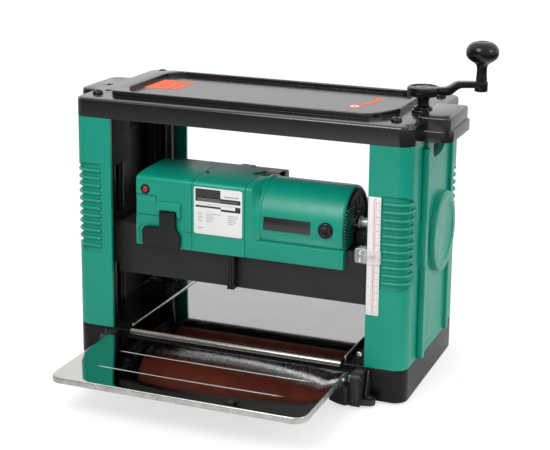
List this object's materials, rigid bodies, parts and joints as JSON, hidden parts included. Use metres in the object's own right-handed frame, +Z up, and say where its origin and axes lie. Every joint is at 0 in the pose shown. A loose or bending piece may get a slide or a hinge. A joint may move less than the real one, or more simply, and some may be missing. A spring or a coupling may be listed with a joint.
{
  "type": "thickness planer",
  "caption": "Bench-top thickness planer: side housings and top cover around a crank-lifted carriage with motor, cutterhead and feed rollers, and fold-up tables.",
  "frame": {"origin": "bottom centre of the whole machine's box, crank included, at the bench surface under the feet", "axes": "+X to the operator's right along the cutterhead, +Y in the feed direction from infeed to outfeed, +Z up"},
  "size_m": [0.6334, 0.684, 0.507],
  "materials": {
    "green_plastic": "moulded green plastic, fine satin texture",
    "black_plastic": "moulded black plastic, fine satin texture",
    "gloss_black_plastic": "smooth black plastic",
    "black_cast_alloy": "cast light alloy, painted black",
    "black_sheet_steel": "black powder coat",
    "mirror_steel": "polished to a mirror",
    "chrome": "ground and chromed",
    "machined_steel": "turned",
    "cutter_aluminium": "turned",
    "copper_windings": "varnished windings",
    "black_rubber": "matt",
    "red_brown_rubber": "satin",
    "white_scale": "printed strip",
    "red_button": "smooth",
    "clear_plastic": "clear moulded plastic"
  },
  "bodies": {
    "frame": {"base_frame": "black_cast_alloy", "bed_plate": "mirror_steel", "depth_scale": "white_scale", "front_hinge_rod": "machined_steel", "front_left_bracket": "black_cast_alloy", "front_left_column": "chrome", "front_left_cover_bolt": "black_plastic", "front_left_foot": "black_rubber", "front_right_bracket": "black_cast_alloy", "front_right_column": "chrome", "front_right_cover_bolt": "black_plastic", "front_right_foot": "black_rubber", "left_housing": "green_plastic", "left_side_frame": "black_sheet_steel", "lift_chain": "machined_steel", "rear_hinge_rod": "machined_steel", "rear_left_bracket": "black_cast_alloy", "rear_left_column": "chrome", "rear_left_cover_bolt": "black_plastic", "rear_left_foot": "black_rubber", "rear_right_bracket": "black_cast_alloy", "rear_right_column": "chrome", "rear_right_cover_bolt": "black_plastic", "rear_right_foot": "black_rubber", "right_housing": "green_plastic", "right_side_frame": "black_sheet_steel", "top_cover": "black_plastic"},
    "crank": {"crank_handle": "gloss_black_plastic", "right_lead_screw": "machined_steel", "right_lift_sprocket": "machined_steel"},
    "knob": {"crank_knob": "gloss_black_plastic"},
    "left_screw": {"left_lead_screw": "machined_steel", "left_lift_sprocket": "machined_steel"},
    "carriage": {"carriage_casting": "black_cast_alloy", "feed_chain": "machined_steel", "drive_belt": "black_rubber", "motor_stator": "copper_windings", "left_cutter_bearing": "machined_steel", "right_cutter_bearing": "machined_steel", "switch_housing": "green_plastic", "motor_shell": "green_plastic", "brush_cap": "black_plastic", "rear_motor_cover": "black_plastic", "dust_hood": "black_plastic", "depth_gauge_bar": "black_plastic", "scale_cursor": "clear_plastic"},
    "cutterhead": {"cutterhead": "cutter_aluminium", "front_knife": "chrome", "rear_knife": "chrome", "cutterhead_pulley": "machined_steel"},
    "motor": {"motor_armature": "machined_steel", "motor_pulley": "machined_steel"},
    "infeed_roller": {"infeed_roller": "red_brown_rubber", "infeed_roller_sprocket": "machined_steel"},
    "outfeed_roller": {"outfeed_roller": "red_brown_rubber", "outfeed_roller_sprocket": "machined_steel"},
    "paddle": {"paddle_switch": "black_plastic"},
    "reset": {"reset_button": "red_button"},
    "infeed_table": {"infeed_table": "mirror_steel"},
    "outfeed_table": {"outfeed_table": "mirror_steel"}
  },
  "joints": [
    {"name": "crank_turn", "type": "hinge", "parent": "frame", "child": "crank", "pos_m": [0.2173, -0.024, 0.404], "axis": [0, 0, 1], "range_deg": [-12980, 13340]},
    {"name": "knob_spin", "type": "hinge", "parent": "crank", "child": "knob", "pos_m": [0.29331, 0.00594, 0.47], "axis": [0, 0, 1], "continuous": true},
    {"name": "left_screw_turn", "type": "hinge", "parent": "frame", "child": "left_screw", "pos_m": [-0.2707, -0.024, 0.404], "axis": [0, 0, 1], "range_deg": [-12980, 13340]},
    {"name": "carriage_lift", "type": "slide", "parent": "frame", "child": "carriage", "axis": [0, 0, 1], "range_m": [-0.072, 0.074]},
    {"name": "cutterhead_spin", "type": "hinge", "parent": "carriage", "child": "cutterhead", "pos_m": [-0.0267, 0, 0.1625], "axis": [1, 0, 0], "continuous": true},
    {"name": "motor_spin", "type": "hinge", "parent": "carriage", "child": "motor", "pos_m": [-0.0267, -0.06, 0.242], "axis": [1, 0, 0], "continuous": true},
    {"name": "infeed_roller_spin", "type": "hinge", "parent": "carriage", "child": "infeed_roller", "pos_m": [-0.0267, -0.062, 0.153], "axis": [1, 0, 0], "continuous": true},
    {"name": "outfeed_roller_spin", "type": "hinge", "parent": "carriage", "child": "outfeed_roller", "pos_m": [-0.0267, 0.062, 0.153], "axis": [1, 0, 0], "continuous": true},
    {"name": "paddle_swing", "type": "hinge", "parent": "carriage", "child": "paddle", "pos_m": [-0.1327, -0.1345, 0.243], "axis": [-1, 0, 0], "range_deg": [0, 25]},
    {"name": "reset_push", "type": "slide", "parent": "carriage", "child": "reset", "axis": [0, 1, 0], "range_m": [0, 0.003]},
    {"name": "infeed_fold", "type": "hinge", "parent": "frame", "child": "infeed_table", "pos_m": [-0.0267, -0.158, 0.043], "axis": [-1, 0, 0], "range_deg": [0, 88]},
    {"name": "outfeed_fold", "type": "hinge", "parent": "frame", "child": "outfeed_table", "pos_m": [-0.0267, 0.158, 0.043], "axis": [1, 0, 0], "range_deg": [0, 88]}
  ],
  "couplings": [
    {"joint": "crank_turn", "follows": "carriage_lift", "rad_per_m": 3141.6},
    {"joint": "left_screw_turn", "follows": "carriage_lift", "rad_per_m": 3141.6},
    {"joint": "motor_spin", "follows": "cutterhead_spin", "ratio": 2},
    {"joint": "infeed_roller_spin", "follows": "cutterhead_spin", "ratio": -0.01},
    {"joint": "outfeed_roller_spin", "follows": "cutterhead_spin", "ratio": -0.01}
  ]
}
